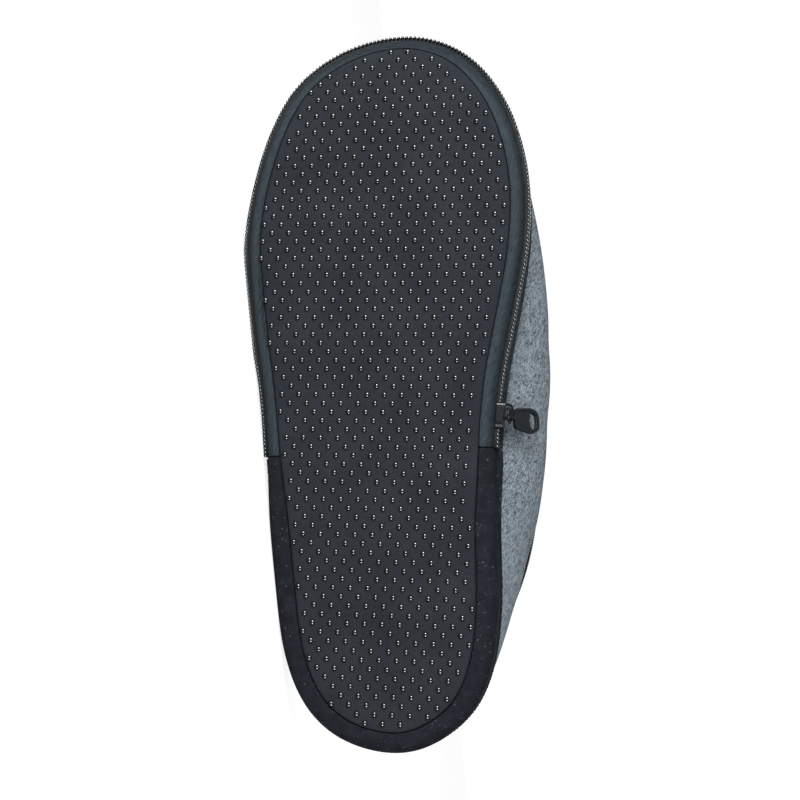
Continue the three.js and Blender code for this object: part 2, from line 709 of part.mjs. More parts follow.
// Frame on the side of the shoe at the slider: X to the heel, Y up across the zip, Z out of the tape
function sideFrame(u, out, up) {
  const turn = turnOfU(u);
  const normal = outlineNormal(turn);
  const outward = new THREE.Vector3(normal.x, normal.y, 0);
  const upward = new THREE.Vector3(0, 0, 1);
  const along = new THREE.Vector3().crossVectors(upward, outward);
  return new THREE.Matrix4().makeBasis(along, upward, outward).setPosition(edgePoint(turn, out, up));
}

// A round wire ring: the wire that passes through the crown is at the origin, and its middle lies along X
function ringGeometry() {
  const reach = (RING_LENGTH - RING_WIRE) / 2;
  const half = (RING_WIDTH - RING_WIRE) / 2;
  const path = Array.from({ length: RING_STEPS }, (_, step) => {
    const angle = (step / RING_STEPS) * FULL_TURN;
    return new THREE.Vector3(reach - reach * Math.cos(angle), half * Math.sin(angle), 0);
  });
  const rings = Array.from({ length: RING_SIDES }, (_, side) => {
    const angle = (side / RING_SIDES) * FULL_TURN;
    return path.map((point, step) => {
      const before = path[(step + RING_STEPS - 1) % RING_STEPS];
      const after = path[(step + 1) % RING_STEPS];
      const out = new THREE.Vector3(after.y - before.y, before.x - after.x, 0).normalize();
      const place = point.clone().addScaledVector(out, (RING_WIRE / 2) * Math.cos(angle));
      return place.setZ((RING_WIRE / 2) * Math.sin(angle));
    });
  });
  return shellOfRings(rings, true).geometry();
}

const LOOP_HOLE = RING_WIRE / 2 + GAP;
const LOOP_RADIUS = LOOP_HOLE + TAB_LOOP_WALL;

// The tab's plate, from its root past the loop to its rounded far end, smaller all round by the inset
function tabOutline(inset) {
  const shape = new THREE.Shape();
  const near = LOOP_RADIUS + GAP + inset;
  const root = TAB_ROOT_WIDTH / 2 - inset;
  const end = TAB_END_WIDTH / 2 - inset;
  const far = TAB_LENGTH - inset;
  const round = TAB_END_WIDTH * TAB_END_ROUND;
  shape.moveTo(near, -root + TAB_RIM_WIDTH);
  shape.quadraticCurveTo(near, -root, near + TAB_RIM_WIDTH, -root);
  shape.lineTo(far - round, -end);
  shape.quadraticCurveTo(far, -end, far, -end * TAB_END_FLAT);
  shape.lineTo(far, end * TAB_END_FLAT);
  shape.quadraticCurveTo(far, end, far - round, end);
  shape.lineTo(near + TAB_RIM_WIDTH, root);
  shape.quadraticCurveTo(near, root, near, root - TAB_RIM_WIDTH);
  shape.closePath();
  return shape;
}

function slab(shape, depth) {
  const thickness = { depth, bevelEnabled: false, curveSegments: CURVE_STEPS };
  const geometry = new THREE.ExtrudeGeometry(shape, thickness);
  return solid(geometry.translate(0, 0, -depth / 2));
}

function disc(radius, length) {
  const cylinder = new THREE.CylinderGeometry(radius, radius, length, DISC_SIDES);
  return solid(cylinder);
}

// The tab: its loop turns round the ring's wire, which runs along Y through the origin, and X is its length
function tabGeometry() {
  const full = TAB_PLATE + 2 * TAB_RIM;
  const holeCentre = TAB_LENGTH - TAB_HOLE_EDGE - TAB_HOLE_LENGTH / 2;
  const hole = new THREE.Shape();
  hole.absellipse(holeCentre, 0, TAB_HOLE_LENGTH / 2, TAB_HOLE_WIDTH / 2, 0, FULL_TURN, false, 0);
  const rim = slab(tabOutline(0), full).subtract(slab(tabOutline(TAB_RIM_WIDTH), 2 * full));
  const plate = slab(tabOutline(TAB_RIM_WIDTH / 2), TAB_PLATE).subtract(slab(hole, 2 * full));
  const neck = new THREE.BoxGeometry(LOOP_RADIUS + TAB_RIM_WIDTH, TAB_LOOP_LENGTH, TAB_PLATE);
  neck.translate(LOOP_RADIUS / 2 + TAB_RIM_WIDTH / 2 + GAP, 0, 0);
  const root = solid(neck).add(disc(LOOP_RADIUS, TAB_LOOP_LENGTH));
  return geometryOf(plate.add(rim).add(root).subtract(disc(LOOP_HOLE, 2 * TAB_LOOP_LENGTH)));
}

// Where the ring hangs in the crown's eye: X towards the heel and out, Y down along the wire
function ringFrame() {
  const lift = THREE.MathUtils.degToRad(RING_LIFT_DEG);
  const lean = THREE.MathUtils.degToRad(RING_LEAN_DEG);
  const wire = new THREE.Vector3(0, -Math.cos(lean), -Math.sin(lean));
  const outward = new THREE.Vector3(0, -Math.sin(lean), Math.cos(lean));
  const heelward = new THREE.Vector3(Math.cos(lift), 0, 0).addScaledVector(outward, Math.sin(lift));
  const normal = new THREE.Vector3().crossVectors(heelward, wire);
  const eyeEnd = CROWN_LENGTH / 2 - CROWN_BAR - RING_WIRE / 2;
  const eyeMiddle = CHAIN_FACE + GAP + SLIDER_PLATE + CROWN_EYE / 2;
  const place = new THREE.Vector3(CROWN_SHIFT + GAP / 2 - eyeEnd, 0, eyeMiddle);
  return new THREE.Matrix4().makeBasis(heelward, wire, normal).setPosition(place);
}

// Where the tab's loop holds the ring, in the ring's own frame: X is the tab's length, Y the wire
function tabFrame(ringInSlider) {
  const hold = THREE.MathUtils.degToRad(RING_HOLD_DEG);
  const rise = THREE.MathUtils.degToRad(TAB_RISE_DEG);
  const reach = (RING_LENGTH - RING_WIRE) / 2;
  const half = (RING_WIDTH - RING_WIRE) / 2;
  const place = new THREE.Vector3(reach - reach * Math.cos(hold), -half * Math.sin(hold), 0);
  const wire = new THREE.Vector3(reach * Math.sin(hold), -half * Math.cos(hold), 0).normalize();
  const wanted = new THREE.Vector3(0, Math.sin(rise), Math.cos(rise));
  wanted.transformDirection(ringInSlider.clone().invert());
  const length = wanted.addScaledVector(wire, -wanted.dot(wire)).normalize();
  const normal = new THREE.Vector3().crossVectors(length, wire);
  return new THREE.Matrix4().makeBasis(length, wire, normal).setPosition(place);
}

const finishes = {
  dottedFabric: { color: 0x3a3e46, roughness: 0.85, metalness: 0 },
  felt: { color: 0x818d97, roughness: 0.95, metalness: 0 },
  fleece: { color: 0x3c4046, roughness: 0.95, metalness: 0 },
  tape: { color: 0x30353a, roughness: 0.8, metalness: 0 },
  coil: { color: 0x23272b, roughness: 0.35, metalness: 0 },
  binding: { color: 0x2a2c33, roughness: 0.9, metalness: 0 },
  thread: { color: 0x1c1d21, roughness: 0.8, metalness: 0 },
  hardware: { color: 0x2b3035, roughness: 0.3, metalness: 0.6 },
};

function piece(name, geometry, finish) {
  const mesh = new THREE.Mesh(geometry, new THREE.MeshStandardMaterial(finishes[finish]));
  mesh.name = name;
  return mesh;
}

// How far the slider stands off, so that it clears the coil where the zip bends hollow
function bendUnderSlider() {
  const inSlider = sideFrame(SLIDER_U, 0, CHAIN_MIDDLE).invert();
  const faces = closedTurns.map((turn) => edgePoint(turn, CHAIN_FACE, CHAIN_MIDDLE).applyMatrix4(inSlider));
  const heights = [-1, 0, 1].flatMap((way) => {
    const x = (way * SLIDER_LENGTH) / 2;
    return faces.slice(1).map((next, index) => {
      const share = (x - faces[index].x) / (next.x - faces[index].x);
      return share >= 0 && share <= 1 ? THREE.MathUtils.lerp(faces[index].z, next.z, share) : 0;
    });
  });
  return Math.max(0, Math.max(...heights) - CHAIN_FACE - SLIDER_PLAY);
}

// The slider on the zip, with the ring in its crown and the tab on the ring
function zipPull() {
  const pull = new THREE.Group();
  pull.applyMatrix4(sideFrame(SLIDER_U, bendUnderSlider(), CHAIN_MIDDLE));
  const ring = piece('pull_ring', ringGeometry(), 'hardware');
  ring.applyMatrix4(ringFrame());
  const tab = piece('pull_tab', tabGeometry(), 'hardware');
  tab.applyMatrix4(ringFrame().multiply(tabFrame(ringFrame())));
  pull.add(piece('zip_slider', sliderGeometry(), 'hardware'), ring, tab);
  return pull;
}

const shoe = new THREE.Group();
shoe.add(
  piece('sole', soleGeometry(), 'dottedFabric'),
  piece('insole', insoleGeometry(), 'fleece'),
  piece('upper', upperGeometry(), 'felt'),
  piece('collar_edging', edgingGeometry(), 'thread'),
  piece('heel_binding', bindingGeometry(), 'binding'),
  piece('zip_tape_sole', tapeSoleGeometry(), 'tape'),
  piece('zip_tape_upper', tapeUpperGeometry(), 'tape'),
  piece('zip_chain', chainGeometry(), 'coil'),
  zipPull(),
);

// Lays the shoe on its outer side: the floor's normal becomes +Z and the heel points to +X
function layOnSide(group) {
  const up = new THREE.Vector3(FLOOR_SLOPE, 1, FLOOR_ROLL).normalize();
  const heelward = new THREE.Vector3(-1, 0, 0);
  heelward.addScaledVector(up, -heelward.dot(up)).normalize();
  const back = new THREE.Vector3().crossVectors(up, heelward);
  const basis = new THREE.Matrix4().makeBasis(heelward, back, up).transpose();
  group.quaternion.setFromRotationMatrix(basis);
  group.updateMatrixWorld(true);
  const box = new THREE.Box3().setFromObject(group, true);
  const centre = box.getCenter(new THREE.Vector3());
  group.position.set(-centre.x, -centre.y, -box.min.z);
  return group;
}

export default layOnSide(shoe);
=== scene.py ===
import json
import math

import bmesh
import bpy
import numpy as np
from mathutils import Matrix, Vector
from mathutils.bvhtree import BVHTree


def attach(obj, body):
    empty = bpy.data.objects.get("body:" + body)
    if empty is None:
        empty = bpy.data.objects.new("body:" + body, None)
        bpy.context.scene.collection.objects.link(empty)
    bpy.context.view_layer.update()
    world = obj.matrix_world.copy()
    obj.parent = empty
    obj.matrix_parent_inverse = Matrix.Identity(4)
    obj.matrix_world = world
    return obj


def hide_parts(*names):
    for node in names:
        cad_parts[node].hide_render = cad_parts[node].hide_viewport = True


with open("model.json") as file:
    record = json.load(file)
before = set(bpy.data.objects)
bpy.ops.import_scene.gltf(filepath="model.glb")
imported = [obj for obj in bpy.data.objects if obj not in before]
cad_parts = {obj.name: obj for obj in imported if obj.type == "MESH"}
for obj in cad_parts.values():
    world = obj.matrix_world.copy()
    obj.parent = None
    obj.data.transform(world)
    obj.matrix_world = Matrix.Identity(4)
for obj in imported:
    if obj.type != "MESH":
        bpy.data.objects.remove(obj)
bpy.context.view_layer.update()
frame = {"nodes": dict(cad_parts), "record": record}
bpy.ops.object.select_all(action="DESELECT")

# The shoe as it lies
# It lies on its outer side. U runs from the heel to the toe, V to the inner side of the foot and W up from
# the ground face, in millimetres from the back end of the sole. The ground face has a mount at U 100.
MM = 0.001
MOUNT_U = 100
FLOOR_SLOPE = 0.131
FLOOR_ROLL = math.tan(math.radians(5.5))
FLOOR_OFFSET = 44.8
FLOOR_SLOPE_U = 76
floor_up = Vector((FLOOR_SLOPE, 1, FLOOR_ROLL)).normalized()
heelward = (floor_up * floor_up.x - Vector((1, 0, 0))).normalized()
lay = Matrix((heelward, floor_up.cross(heelward), floor_up))
ground_mount = Vector(frame["record"]["mounts"][0]["pos_m"])
shoe_start = ground_mount - lay @ Vector((MOUNT_U * MM, 0, 0))
shoe_matrix = Matrix.Translation(shoe_start) @ lay.to_4x4() @ Matrix.Scale(MM, 4)
shoe_turn = lay.to_euler()


def place(u, v, w):
    return shoe_matrix @ Vector((u, v, w))


# Camera, floor and lights
# The camera looks square at the ground face, a little from the inner side, with the toe up in the picture.
# The floor is plain and white, and soft lights beyond the toe and beyond the heel give each dot two glints.
CAMERA_U, CAMERA_V, CAMERA_W = 88, 74, -500
AIM_U, AIM_V = 136, 6
CAMERA_ROLL = math.radians(1.2)
VIEW_HALF_ANGLE = math.radians(17.3)
eye = place(CAMERA_U, CAMERA_V, CAMERA_W)
back = (eye - place(AIM_U, AIM_V, 0)).normalized()
toeward = lay @ Vector((1, 0, 0))
picture_up = Matrix.Rotation(CAMERA_ROLL, 3, back) @ (toeward - back * toeward.dot(back)).normalized()
picture_right = picture_up.cross(back)
camera_data = bpy.data.cameras.new("camera")
camera_data.angle = 2 * VIEW_HALF_ANGLE
camera_data.clip_start = 0.01
camera = bpy.data.objects.new("camera", camera_data)
camera.matrix_world = Matrix((picture_right, picture_up, back)).transposed().to_4x4()
camera.location = eye
bpy.context.scene.collection.objects.link(camera)
bpy.context.scene.camera = camera
bpy.context.scene.view_settings.view_transform = "Standard"

BACKDROP_TONE = 1.05
ROOM_TONE = 0.2
world = bpy.data.worlds.new("studio")
world.use_nodes = True
world_nodes = world.node_tree.nodes
direction = world_nodes.new("ShaderNodeTexCoord")
split = world_nodes.new("ShaderNodeSeparateXYZ")
fade = world_nodes.new("ShaderNodeMapRange")
fade.interpolation_type = "SMOOTHSTEP"
for socket, value in {"From Min": 0.3, "From Max": 0.8, "To Min": ROOM_TONE, "To Max": BACKDROP_TONE}.items():
    fade.inputs[socket].default_value = value
world.node_tree.links.new(direction.outputs["Generated"], split.inputs[0])
world.node_tree.links.new(split.outputs["Y"], fade.inputs["Value"])
world.node_tree.links.new(fade.outputs["Result"], world_nodes["Background"].inputs["Strength"])
world_nodes["Background"].inputs["Color"].default_value = (1, 1, 1, 1)
bpy.context.scene.world = world

LIGHTS = [
    {"name": "toe_light", "toward": (0.74, 0.2, -0.68), "far": 1.25, "size": 0.7, "watts": 35},
    {"name": "heel_light", "toward": (-0.74, 0.2, -0.68), "far": 1.25, "size": 0.6, "watts": 19},
    {"name": "top_light", "toward": (0.1, 1, -0.15), "far": 1.4, "size": 1.0, "watts": 3},
]
middle = place(AIM_U, 0, 0)
for row in LIGHTS:
    light_data = bpy.data.lights.new(row["name"], "AREA")
    light_data.size = row["size"]
    light_data.energy = row["watts"]
    light = bpy.data.objects.new(row["name"], light_data)
    toward = (lay @ Vector(row["toward"])).normalized()
    light.location = middle + toward * row["far"]
    light.rotation_euler = toward.to_track_quat("Z", "Y").to_euler()
    light.visible_camera = False
    bpy.context.scene.collection.objects.link(light)

FLOOR_SIZE = 16
bpy.ops.mesh.primitive_plane_add(size=FLOOR_SIZE, location=(0, 0, 0))
floor = bpy.context.object
floor.name = "floor"
floor_finish = bpy.data.materials.new("floor_white")
floor_finish.use_nodes = True
floor_shader = floor_finish.node_tree.nodes["Principled BSDF"]
floor_shader.inputs["Base Color"].default_value = (0.4, 0.4, 0.4, 1)
floor_shader.inputs["Roughness"].default_value = 0.9
floor_shader.inputs["Specular IOR Level"].default_value = 0.1
floor_shader.inputs["Emission Color"].default_value = (1, 1, 1, 1)
floor_shader.inputs["Emission Strength"].default_value = 0.8
floor.data.materials.append(floor_finish)
floor.visible_glossy = False

# Sole board
# The sole is a foam board covered below with dark cloth, which carries small raised dots of soft plastic.
# The cloth ends in a sunk seam, where the tape and the binding are folded under the board.
BOARD_LENGTH = 286
BALL_WIDTH = 108.4
WAIST_WIDTH = 87
HEEL_WIDTH = 84.4
TOE_SPRING = 6.5
TOE_SPRING_LENGTH = 46
TAPE_FOLD = 4.2
BINDING_FOLD = 6.6
PANEL_STEP_SLOPE = 0.6
FULL_TURN = 2 * math.pi
OUTLINE = [
    {"at": 0.02, "width": HEEL_WIDTH, "outer": 0.2, "inner": 0.28},
    {"at": 0.06, "width": HEEL_WIDTH, "outer": 0.345, "inner": 0.421},
    {"at": 0.12, "width": HEEL_WIDTH, "outer": 0.436, "inner": 0.499},
    {"at": 0.2, "width": HEEL_WIDTH, "outer": 0.492, "inner": 0.522},
    {"at": 0.29, "width": HEEL_WIDTH, "outer": 0.53, "inner": 0.511},
    {"at": 0.4, "width": WAIST_WIDTH, "outer": 0.537, "inner": 0.478},
    {"at": 0.5, "width": WAIST_WIDTH, "outer": 0.574, "inner": 0.495},
    {"at": 0.6, "width": BALL_WIDTH, "outer": 0.518, "inner": 0.443},
    {"at": 0.7, "width": BALL_WIDTH, "outer": 0.532, "inner": 0.483},
    {"at": 0.79, "width": BALL_WIDTH, "outer": 0.5, "inner": 0.482},
    {"at": 0.87, "width": BALL_WIDTH, "outer": 0.436, "inner": 0.431},
    {"at": 0.93, "width": BALL_WIDTH, "outer": 0.351, "inner": 0.348},
    {"at": 0.975, "width": BALL_WIDTH, "outer": 0.211, "inner": 0.233},
]
TOE_APEX = 0.028 * BALL_WIDTH
HEEL_APEX = 0.06 * HEEL_WIDTH


def turn_of_share(at):
    """A turn of 0 is the toe and half a turn the heel, and the inner side comes first."""
    return math.acos(max(-1, min(1, 2 * at - 1)))


def turn_of_u(u):
    return turn_of_share(u / BOARD_LENGTH)


class RoundCurve:
    """A smooth closed curve through knots of turn and value."""

    def __init__(self, knots):
        self.knots = knots

    def knot(self, index):
        lap, own = divmod(index, len(self.knots))
        turn, value = self.knots[own]
        return turn + lap * FULL_TURN, value

    def slope(self, index):
        before, after = self.knot(index - 1), self.knot(index + 1)
        return (after[1] - before[1]) / (after[0] - before[0])

    def __call__(self, any_turn):
        turn = any_turn % FULL_TURN
        index = max(i for i, knot in enumerate(self.knots) if knot[0] <= turn)
        start, end = self.knot(index), self.knot(index + 1)
        span = end[0] - start[0]
        x = (turn - start[0]) / span
        rise = x * x * (3 - 2 * x)
        start_pull = x * (1 - x) * (1 - x) * span * self.slope(index)
        end_pull = -x * x * (1 - x) * span * self.slope(index + 1)
        return start[1] + (end[1] - start[1]) * rise + start_pull + end_pull


inner_knots = [(turn_of_share(r["at"]), r["inner"] * r["width"]) for r in reversed(OUTLINE)]
outer_knots = [(FULL_TURN - turn_of_share(r["at"]), -r["outer"] * r["width"]) for r in OUTLINE]
outline_side = RoundCurve([(0, TOE_APEX), *inner_knots, (math.pi, HEEL_APEX), *outer_knots])


def outline_u(turn):
    return BOARD_LENGTH * (1 + math.cos(turn)) / 2


def outline_normal(turn, step=1e-3):
    du = outline_u(turn + step) - outline_u(turn - step)
    dv = outline_side(turn + step) - outline_side(turn - step)
    return Vector((dv, -du)).normalized()


def toe_spring(u):
    share = max(0, (u - (BOARD_LENGTH - TOE_SPRING_LENGTH)) / TOE_SPRING_LENGTH)
    return TOE_SPRING * share * share


def pressed(height, softness):
    """What the floor leaves of a height over it: nothing below, with a soft way into it."""
    if height >= softness:
        return height
    if height <= -softness:
        return 0
    return (height + softness) ** 2 / (4 * softness)


def floor_shift(u, v, w, softness, lift=0):
    height = v + FLOOR_OFFSET + FLOOR_SLOPE * (u - FLOOR_SLOPE_U) + FLOOR_ROLL * w - lift
    return pressed(height, softness) - height


OUTLINE_SAMPLES = 1440
outline_turns = np.arange(OUTLINE_SAMPLES) / OUTLINE_SAMPLES * FULL_TURN
outline_points = np.array([(outline_u(t), outline_side(t)) for t in outline_turns])
outline_normals = np.array([outline_normal(t) for t in outline_turns])
outline_steps = np.linalg.norm(np.roll(outline_points, -1, 0) - outline_points, axis=1)
outline_along = np.concatenate(([0], np.cumsum(outline_steps)[:-1]))
OUTLINE_ROUND = outline_steps.sum()


def nearest_edge(u, v):
    """The place on the outline nearest to a point: its index, and how far out of it the point is."""
    away = np.array((u, v)) - outline_points
    index = int(np.argmin((away**2).sum(1)))
    return index, float(away[index] @ outline_normals[index])


EDGE_SOFTNESS = 0.5
SPINE_INSET = 40
GAP = 0.3
BINDING = 1.5
CHAIN_FACE = 3.4
ZIP_START_U = 118
ZIP_END_U = 113
zip_start = turn_of_u(ZIP_START_U)
zip_end = turn_of_u(ZIP_END_U)


def edge_point(turn, out, up):
    """A point of the shoe's edge: out from the side of the board, and up from the ground face."""
    normal = outline_normal(turn)
    u, v = outline_u(turn), outline_side(turn)
    w = up + toe_spring(u + normal.x * out)
    face = CHAIN_FACE if u > ZIP_START_U else GAP + BINDING
    shift = floor_shift(u + normal.x * face, v + normal.y * face, w, EDGE_SOFTNESS)
    fade = max(0, min(1, 1 + out / SPINE_INSET))
    return Vector((u + normal.x * out, v + normal.y * out + shift * fade, w))


def edge_frame(turn, out=0, up=0):
    """A frame on the edge: X along it towards the toe on the inner side, Y out of the board and Z up."""
    normal = outline_normal(turn)
    axes = Matrix(((-normal.y, normal.x, 0), (normal.x, normal.y, 0), (0, 0, 1))).transposed()
    return Matrix.Translation(edge_point(turn, out, up)) @ axes.to_4x4()


def turns_along(start, end, pitch):
    """Turns between two turns, at an even pitch along the outline."""
    span_turns = np.linspace(start, end, OUTLINE_SAMPLES)
    span_points = np.array([(outline_u(t), outline_side(t)) for t in span_turns])
    walked = np.concatenate(([0], np.cumsum(np.linalg.norm(np.diff(span_points, axis=0), axis=1))))
    return np.interp(np.arange(pitch / 2, walked[-1], pitch), walked, span_turns)


def thread(name, points, radius, sides=6):
    """A short wire or thread along some points, as a mesh with closed ends."""
    line = bpy.data.curves.new(name, "CURVE")
    line.dimensions = "3D"
    line.bevel_mode = "ROUND"
    line.bevel_depth = radius
    line.bevel_resolution = (sides - 4) // 2
    line.use_fill_caps = True
    spline = line.splines.new("POLY")
    spline.points.add(len(points) - 1)
    for knot, spot in zip(spline.points, points):
        knot.co = (*spot, 1)
    wire = bpy.data.objects.new(name, line)
    bpy.context.scene.collection.objects.link(wire)
    bpy.ops.object.select_all(action="DESELECT")
    bpy.context.view_layer.objects.active = wire
    wire.select_set(True)
    bpy.ops.object.convert(target="MESH")
    return bpy.context.object


class Field:
    """A socket of a material's nodes, on which Python's own signs add Math nodes."""

    def __init__(self, tree, socket=None):
        self.tree = tree
        self.socket = socket

    def node(self, kind, settings=None, values=None, output=0):
        """Adds a node: first its settings, then what its sockets hold or are linked to."""
        made = self.tree.nodes.new(kind)
        for name, value in (settings or {}).items():
            if name == "stops":
                for index, (at, colour) in enumerate(value):
                    stop = made.color_ramp.elements[index] if index < 2 else made.color_ramp.elements.new(at)
                    stop.position = at
                    stop.color = colour
            else:
                setattr(made, name, value)
        for name, value in (values or {}).items():
            if isinstance(value, Field):
                self.tree.links.new(value.socket, made.inputs[name])
            else:
                made.inputs[name].default_value = value
        return Field(self.tree, made.outputs[output])

    def maths(self, operation, *others):
        return self.node("ShaderNodeMath", {"operation": operation}, dict(enumerate((self, *others))))

    def __add__(self, other):
        return self.maths("ADD", other)

    def __sub__(self, other):
        return self.maths("SUBTRACT", other)

    def __rsub__(self, other):
        return self.node("ShaderNodeMath", {"operation": "SUBTRACT"}, {0: other, 1: self})

    def __mul__(self, other):
        return self.maths("MULTIPLY", other)

    __radd__ = __add__
    __rmul__ = __mul__

    def between(self, low, high, ease="LINEAR"):
        """0 at low, 1 at high, and held to these beyond."""
        limits = {"Value": self, "From Min": low, "From Max": high}
        return self.node("ShaderNodeMapRange", {"interpolation_type": ease}, limits)

    def noise(self, scale, detail=2.0, rough=0.5, stretch=(1, 1, 1), turn=(0, 0, 0)):
        """Cloudy noise on a point field, finer where scale is larger."""
        placed = {"Vector": self, "Rotation": turn, "Scale": stretch}
        turned = self.node("ShaderNodeMapping", {"vector_type": "TEXTURE"}, placed)
        grain = {"Vector": turned, "Scale": scale, "Detail": detail, "Roughness": rough}
        return self.node("ShaderNodeTexNoise", None, grain)

    def mixed(self, colour_a, colour_b):
        """A colour that goes from the first to the second as this goes from 0 to 1."""
        made = self.tree.nodes.new("ShaderNodeMix")
        made.data_type = "RGBA"
        for index, value in ((0, self), (6, colour_a), (7, colour_b)):
            if isinstance(value, Field):
                self.tree.links.new(value.socket, made.inputs[index])
            else:
                made.inputs[index].default_value = value
        return Field(self.tree, made.outputs[2])

    def bump(self, distance, strength=1.0):
        return self.node("ShaderNodeBump", None, {"Height": self, "Distance": distance, "Strength": strength})

    def feeds(self, name):
        """Links this to a socket of the material's shader."""
        self.tree.links.new(self.socket, self.tree.nodes["Principled BSDF"].inputs[name])


def new_finish(name, **sockets):
    """A material with fixed values on its shader, and its point field in the shoe's place."""
    finish = bpy.data.materials.new(name)
    finish.use_nodes = True
    for socket, value in sockets.items():
        finish.node_tree.nodes["Principled BSDF"].inputs[socket.replace("_", " ")].default_value = value
    point = Field(finish.node_tree).node("ShaderNodeTexCoord", output="Object")
    return finish, point


def finer_copy(node, name, levels, crease, sharpness=35):
    """A copy of a CAD node as quads, with its corners creased and the rest rounded by subdivision."""
    piece = frame["nodes"][node].copy()
    piece.data = piece.data.copy()
    piece.parent = None
    piece.name = name
    for key in list(piece.keys()):
        del piece[key]
    bpy.context.scene.collection.objects.link(piece)
    piece.data.materials.clear()
    bpy.ops.object.select_all(action="DESELECT")
    bpy.context.view_layer.objects.active = piece
    piece.select_set(True)
    bpy.ops.object.mode_set(mode="EDIT")
    bpy.ops.mesh.select_all(action="SELECT")
    bpy.ops.mesh.remove_doubles(threshold=1e-5)
    bpy.ops.mesh.tris_convert_to_quads()
    bpy.ops.mesh.select_all(action="DESELECT")
    bpy.ops.mesh.select_mode(type="EDGE")
    bpy.ops.mesh.edges_select_sharp(sharpness=math.radians(sharpness))
    bpy.ops.transform.edge_crease(value=crease)
    bpy.ops.object.mode_set(mode="OBJECT")
    if levels:
        rounding = piece.modifiers.new("rounding", "SUBSURF")
        rounding.levels = levels
        rounding.render_levels = levels
        bpy.ops.object.modifier_apply(modifier=rounding.name)
    bpy.ops.object.shade_smooth()
    return piece


def set_out(model, frames, name):
    """Copies of a small model, one in each frame of the shoe, joined as one mesh."""
    joined = bmesh.new()
    for spot in frames:
        one = model.data.copy()
        one.transform(shoe_matrix @ spot)
        joined.from_mesh(one)
        bpy.data.meshes.remove(one)
    mesh = bpy.data.meshes.new(name)
    joined.to_mesh(mesh)
    joined.free()
    mesh.polygons.foreach_set("use_smooth", [True] * len(mesh.polygons))
    piece = bpy.data.objects.new(name, mesh)
    bpy.context.scene.collection.objects.link(piece)
    bpy.data.objects.remove(model)
    return piece


def finished(piece, finish, body, slot, *stands_for):
    piece.data.materials.clear()
    piece.data.materials.append(finish)
    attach(piece, body)
    if stands_for:
        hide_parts(*stands_for)
    return piece


sole = finer_copy("sole", "sole_board", 2, 0.85)
sole_cloth, point = new_finish("sole_cloth", Roughness=0.85, Specular_IOR_Level=0.08)
mottle = point.noise(700, 3, 0.6)
cloud = point.noise(60, 2, 0.5)
on_shoe = {"Vector": point, "Rotation": shoe_turn}
weave_point = point.node("ShaderNodeMapping", {"vector_type": "TEXTURE"}, on_shoe)
WEAVE_PITCH = 0.55
yarns = {"Vector": weave_point, "Scale": 1 / (WEAVE_PITCH * MM) / 2, "Distortion": 1.5, "Detail Scale": 3.0}
warp, weft = (
    weave_point.node("ShaderNodeTexWave", {"wave_type": "BANDS", "bands_direction": across}, yarns)
    for across in ("X", "Y")
)
cloth_height = warp * 0.5 + weft * 0.5 + mottle * 0.8
tone = mottle * 0.45 + cloud * 0.55
tone.between(0.3, 0.7).mixed((0.0086, 0.0102, 0.0133, 1), (0.0146, 0.0172, 0.0218, 1)).feeds("Base Color")
cloth_height.bump(0.00008).feeds("Normal")
finished(sole, sole_cloth, "shoe", "dotted_fabric", "sole")

# Dots of the sole
# Each dot is a low dome of clear-edged glossy black plastic, printed on the cloth in staggered rows.
# The rows run across the sole, and the columns lean a little, as the cloth was cut.
DOT_COLUMN = 6.9
DOT_ROW = 3.45
DOT_LEAN = 0.065
DOT_RADIUS = 1.15
DOT_HEIGHT = 0.9
DOT_SINK = 0.08
DOT_MARGIN = 0.9
bpy.ops.mesh.primitive_uv_sphere_add(segments=12, ring_count=10, radius=DOT_RADIUS)
dot = bpy.context.object
bpy.ops.object.mode_set(mode="EDIT")
bpy.ops.mesh.select_all(action="SELECT")
bpy.ops.mesh.bisect(plane_co=(0, 0, 0), plane_no=(0, 0, -1), clear_outer=True, use_fill=True)
bpy.ops.mesh.select_all(action="SELECT")
bpy.ops.transform.resize(value=(1, 1, DOT_HEIGHT / DOT_RADIUS))
bpy.ops.object.mode_set(mode="OBJECT")
face_down = Matrix.Rotation(math.pi, 4, "X")
dot_frames = []
rows = round(BOARD_LENGTH / DOT_ROW)
columns = math.ceil(BALL_WIDTH / DOT_COLUMN)
for row in range(rows + 1):
    for column in range(-columns, columns + 1):
        u = row * DOT_ROW
        v = (column + row % 2 / 2) * DOT_COLUMN + DOT_LEAN * (u - BOARD_LENGTH / 2)
        index, out = nearest_edge(u, v)
        fold = BINDING_FOLD if outline_points[index][0] < ZIP_END_U else TAPE_FOLD
        if out < -(fold + PANEL_STEP_SLOPE + DOT_MARGIN):
            dot_frames.append(Matrix.Translation((u, v, toe_spring(u) + DOT_SINK)) @ face_down)
dots = set_out(dot, dot_frames, "sole_dots")
DOT_BLACK = (0.002, 0.002, 0.003, 1)
dot_plastic, point = new_finish(
    "dot_plastic", Base_Color=DOT_BLACK, Roughness=0.07, Specular_IOR_Level=0.7, Coat_Weight=0.5
)
finished(dots, dot_plastic, "shoe", "dotted_fabric")

# Insole
# A pad covered with dark grey fleece lies on the board. Its pile is short, curly and dense.
insole = finer_copy("insole", "insole_pad", 2, 0.5)
fleece, point = new_finish("fleece", Roughness=0.95, Specular_IOR_Level=0.1)
curls = point.noise(420, 3, 0.6)
curls.between(0.3, 0.7).mixed((0.03, 0.032, 0.036, 1), (0.085, 0.09, 0.1, 1)).feeds("Base Color")
curls.bump(0.0009).feeds("Normal")
finished(insole, fleece, "shoe", "fleece", "insole")

